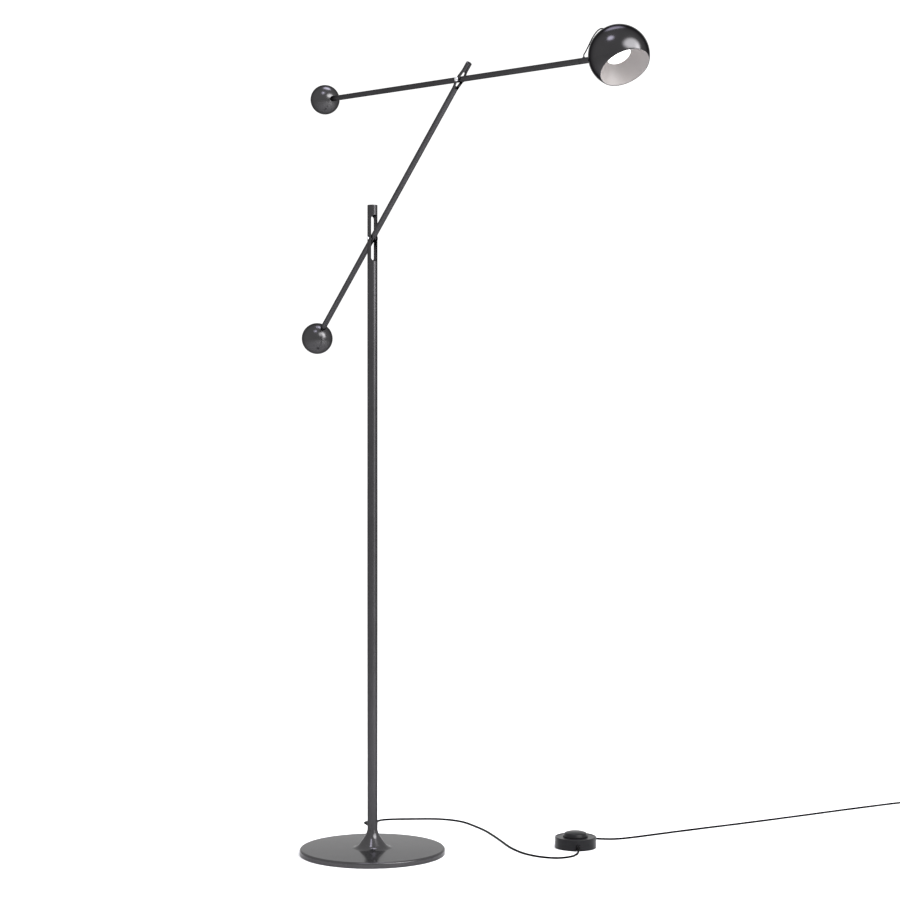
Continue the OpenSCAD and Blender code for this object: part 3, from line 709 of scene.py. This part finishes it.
def add_lower_arm():
    """Tube, ball, eye and upper pivot of the lower arm."""
    keep_node("lower_arm_tube", paint)
    keep_node("lower_arm_wire", sheath)
    keep_node("lower_ball_stud", zinc)
    keep_node("lower_bush", paint)
    keep_node("upper_pin", zinc)
    place = LOWER_ARM @ Matrix.Translation((-LOWER_BACK * MM, 0, 0))
    add(ball("lower_weight_ball", LOWER_BALL_R, LOWER_R, place), "lower_arm", ball_paint,
        "gunmetal", "lower_ball")
    add_eye()
    low = LOWER_R + EYE_BOW
    crown = low + CAP_T
    outline = rounded([
        (0, low), (UPPER_CAP_R, low), (UPPER_CAP_R, crown - 1.0, 0.5), (2.4, crown - 0.1, 1.0),
        (0, crown)])
    caps = join("upper_caps", [
        lathe("upper_cap", outline, EYE @ along_y(side), 64) for side in (-1, 1)])
    add(caps, "lower_arm", bright_steel, "bright", "upper_pin_caps")


def add_upper_arm():
    """Tube and ball of the upper arm, with the spigot in its end."""
    keep_node("upper_arm_tube", paint)
    keep_node("upper_arm_wire", sheath)
    keep_node("upper_ball_stud", zinc)
    keep_node("upper_bush", paint)
    keep_node("swivel_spigot", bright_steel)
    place = UPPER_ARM @ Matrix.Translation((-UPPER_BACK * MM, 0, 0))
    add(ball("upper_weight_ball", UPPER_BALL_R, UPPER_R, place), "upper_arm", ball_paint,
        "gunmetal_alu", "upper_ball")


# ---------------------------------------------------------------- head


def add_swivel():
    """Sleeve, magnet seat and lead grommet, which turn about the upper arm."""
    keep_node("seat_magnet", zinc)
    step_x = SEAT_START - MAGNET_HOLE_L
    sleeve = lathe("swivel_sleeve", rounded([
        (SPIGOT_HOLE_R, SLEEVE_START), (UPPER_R, SLEEVE_START, 0.35), (UPPER_R, SEAT_START, 0.2),
        (MAGNET_HOLE_R, SEAT_START), (MAGNET_HOLE_R, step_x), (SPIGOT_HOLE_R, step_x)]),
        UPPER_ARM @ ALONG_X, 96)
    add(sleeve, "swivel", paint, "gunmetal", "head_sleeve")
    keep_node("seat_cup", paint)
    grommet = lathe("sleeve_grommet", rounded([
        (0, 3.5), (1.45, 3.5), (1.45, UPPER_R - 0.6), (2.2, UPPER_R - 0.6),
        (2.2, UPPER_R + 0.5, 0.3), (1.5, UPPER_R + 1.5, 0.3), (0, UPPER_R + 1.6)]),
        UPPER_ARM @ Matrix.Translation((LEAD_ROOT * MM, 0, 0)), 48)
    add(grommet, "swivel", rubber, "rubber", "lead_grommet")


def add_lead():
    """Short lead from the arm into the head's back, drawn as a tube in one pose."""
    points = [head_centre + p for p in smooth_route(LEAD_ROUTE, 4)]
    lead = swept("head_lead_sheath", tube_rings(points, LEAD_D / 2 * MM))
    lead.data.materials.append(sheath)
    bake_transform(lead)
    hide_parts("head_lead")


def add_head():
    """Shell, reflector, light disc and what is behind them."""
    inner = HEAD_R - SHELL_T / 2
    low = math.degrees(math.asin(RIM_H / HEAD_R))
    low_in = math.degrees(math.asin(RIM_H / inner))
    outline = ([(0, -HEAD_R)] + arc((0, 0), HEAD_R, -90, low - 0.5, 1.5)[1:]
               + [(HEAD_R * math.cos(math.radians(low)) - 0.1, RIM_H - 0.05)]
               + arc((0, 0), inner, low_in, -90, 3.0)[:-1] + [(0, -inner)])
    add(lathe("head_ball_shell", outline, HEAD, 224), "head", head_paint, "gunmetal",
        "head_shell")
    edge = math.sqrt(inner ** 2 - RIM_H ** 2) - 0.1
    cone = rounded([
        (DISC_R, -DISC_T), (DISC_R, 0.0, 0.3), (edge - 0.8, RIM_H - 0.5, 0.2),
        (edge, RIM_H - 0.4), (edge, RIM_H - 1.2), (DISC_R + 1.2, -DISC_T)])
    add(lathe("head_reflector", cone, HEAD, 192), "head", reflector_coat, "white_reflector",
        "reflector")
    panel_r = DISC_R - 0.02
    panel = rounded([(0, -DISC_T), (panel_r, -DISC_T), (panel_r, -0.2, 0.15), (0, 0.0)])
    add(lathe("head_light_panel", panel, HEAD), "head", opal, "opal", "light_disc")
    keep_node("led_board", board_white)
    keep_node("heat_sink", raw_aluminium)
    keep_node("board_screws", zinc)
    back = -HEAD_R
    grommet = lathe("head_back_grommet", rounded([
        (0, back + 3.5), (1.75, back + 3.5), (1.75, back + 0.2), (2.9, back + 0.1),
        (2.9, back - 0.8, 0.4), (1.5, back - 2.5, 0.3), (0, back - 2.6)]), HEAD, 48)
    add(grommet, "head", rubber, "rubber", "head_grommet")


# ---------------------------------------------------------------- foot switch and plug


def add_switch():
    """Housing and inside as the CAD has them, and a crowned button with a rounded shoulder."""
    keep_node("switch_housing", switch_plastic, 40.0)
    keep_node("switch_floor", switch_plastic)
    keep_node("switch_feet", rubber)
    keep_node("switch_screws", zinc)
    keep_node("contact_block", pale_plastic)
    keep_node("button_spring", bright_steel)
    keep_node("relief_in", rubber)
    keep_node("relief_out", rubber)
    collar_z = SWITCH_H - COLLAR_DEPTH
    outline = rounded([
        (0, BUTTON_SKIRT_Z), (COLLAR_R, BUTTON_SKIRT_Z), (COLLAR_R, collar_z),
        (BUTTON_R, collar_z), (BUTTON_R, SWITCH_H + 1.2, 0.8),
        (BUTTON_TOP_R + 0.8, BUTTON_EDGE_Z - 1.0, 2.2), (13, BUTTON_EDGE_Z + 1.8, 5.0),
        (0, BUTTON_EDGE_Z + 2.4)], 8)
    add(lathe("foot_press_button", outline, SWITCH, 160), "button", switch_plastic,
        "black_plastic", "foot_button")


def plug_ring(x, size):
    """Cross-section of the plug's grip: a rectangle with rounded corners, scaled by size."""
    half_w = 8
    half_h = 6
    corner_r = 4
    side_share = 1.7
    sides = 48
    points = []
    for k in range(sides):
        a = 2 * math.pi * k / sides
        y = half_w * math.copysign(min(1.0, abs(math.cos(a)) * side_share), math.cos(a))
        z = half_h * math.copysign(min(1.0, abs(math.sin(a)) * side_share), math.sin(a))
        points.append(Vector((
            x, size * (y + corner_r * math.cos(a)), size * (z + corner_r * math.sin(a)))) * MM)
    return points


def add_plug():
    """Two-blade plug with a grip, beside the coil, and the coil's tie."""
    keep_node("coil_tie", plug_plastic)
    relief = [(0, -22), (2.5, -22)]
    relief += ribs(6, -20.5, 3.3, 2.9, 0.2, [(-0.4, 0), (0, 0.4), (0, 1.9), (-0.4, 2.3)])
    relief += [(4.0, 0), (0, 0)]
    add(lathe("plug_strain_relief", relief, PLUG @ ALONG_X, 40), "stand", rubber, "rubber",
        "plug_relief")
    profile = [(0.0, 0.80), (0.6, 0.9), (2.0, 0.96), (6.0, 1.0), (9.0, 0.97), (12.0, 0.95),
               (15.0, 0.96), (18.0, 1.0), (22.5, 1.0), (23.6, 0.97), (24.0, 0.92)]
    rings = [plug_ring(x, size) for x, size in profile]
    add(swept("plug_shell", rings, PLUG), "stand", plug_plastic, "black_plastic", "plug_body")
    keep_node("plug_blades", bright_steel)


# ---------------------------------------------------------------- floor and light


WHITE = (1.0, 1.0, 1.0)
LAVENDER = (0.86, 0.84, 1.0)
ROOM_STRENGTH = 1.12
FLOOR_SIZE = 60


def seen_from_camera(azimuth, elevation):
    """Direction away from the lamp, as an azimuth right of the camera and an elevation."""
    turn = math.radians(CAMERA_AZIMUTH + azimuth)
    rise = math.radians(elevation)
    return Vector((
        math.sin(turn) * math.cos(rise), -math.cos(turn) * math.cos(rise), math.sin(rise)))


def soft_panel(name, target, azimuth, elevation, distance, size, power, tint=WHITE):
    """Glowing panel that fades out towards its edges, facing a target."""
    direction = seen_from_camera(azimuth, elevation)
    bpy.ops.mesh.primitive_plane_add(size=1)
    panel = bpy.context.object
    panel.name = name
    panel.scale = (size[0], size[1], 1)
    panel.location = Vector(target) + direction * distance
    panel.rotation_euler = (-direction).to_track_quat("Z", "Y").to_euler()
    material = bpy.data.materials.new(name)
    material.use_nodes = True
    tree = material.node_tree
    tree.nodes.clear()
    coordinates = tree.nodes.new("ShaderNodeTexCoord")
    gradient = tree.nodes.new("ShaderNodeTexGradient")
    gradient.gradient_type = "SPHERICAL"
    stretch = tree.nodes.new("ShaderNodeMapping")
    stretch.inputs["Scale"].default_value = (2, 2, 2)
    fade = tree.nodes.new("ShaderNodeMapRange")
    fade.interpolation_type = "SMOOTHSTEP"
    fade.inputs["From Max"].default_value = 0.6
    clear = tree.nodes.new("ShaderNodeBsdfTransparent")
    blend = tree.nodes.new("ShaderNodeMixShader")
    glow = tree.nodes.new("ShaderNodeEmission")
    glow.inputs["Color"].default_value = (*tint, 1)
    glow.inputs["Strength"].default_value = power
    output = tree.nodes.new("ShaderNodeOutputMaterial")
    tree.links.new(coordinates.outputs["Object"], stretch.inputs["Vector"])
    tree.links.new(stretch.outputs["Vector"], gradient.inputs["Vector"])
    tree.links.new(gradient.outputs["Fac"], fade.inputs["Value"])
    tree.links.new(fade.outputs["Result"], blend.inputs["Fac"])
    tree.links.new(clear.outputs["BSDF"], blend.inputs[1])
    tree.links.new(glow.outputs["Emission"], blend.inputs[2])
    tree.links.new(blend.outputs["Shader"], output.inputs["Surface"])
    panel.data.materials.append(material)


def add_studio():
    """Pale floor, pale room and soft panels over and beside the lamp."""
    bpy.ops.mesh.primitive_plane_add(size=FLOOR_SIZE, location=(0, 0, 0))
    floor = bpy.context.object
    floor.name = "studio_floor"
    floor.data.materials.append(
        mottled("studio_floor", (0.93, 0.93, 0.93), (0.95, 0.95, 0.95), (0.7, 0.8), grain=60.0,
                bump=0.0, shine=0.0))
    world = bpy.data.worlds.new("studio")
    bpy.context.scene.world = world
    world.use_nodes = True
    background = world.node_tree.nodes["Background"]
    background.inputs["Color"].default_value = (*WHITE, 1)
    background.inputs["Strength"].default_value = ROOM_STRENGTH
    middle = (0.3, 0.0, 1.0)
    soft_panel("key_panel", (0.5, 0.0, 1.2), 44, 33, 2.5, (3.4, 2.0), 12.0)
    soft_panel("side_panel", middle, 50, 0, 2.6, (1.6, 2.4), 3.5)
    soft_panel("strip_panel", (0.0, 0.0, 0.0), 58, 37, 3.2, (1.0, 1.6), 16.0)
    soft_panel("floor_panel", (1.9, 0.9, 0.0), 0, 90, 1.3, (1.8, 1.8), 10.0)
    soft_panel("top_panel", middle, 172, 78, 2.2, (1.5, 1.0), 14.0, LAVENDER)
    soft_panel("left_panel", middle, -33, 57, 2.4, (1.0, 0.8), 12.0, LAVENDER)
    bpy.context.scene.view_settings.view_transform = "Standard"


add_plug()
add_cords()
add_base()
add_pole()
add_gland()
add_lower_arm()
add_upper_arm()
add_swivel()
add_lead()
add_head()
add_switch()
add_studio()
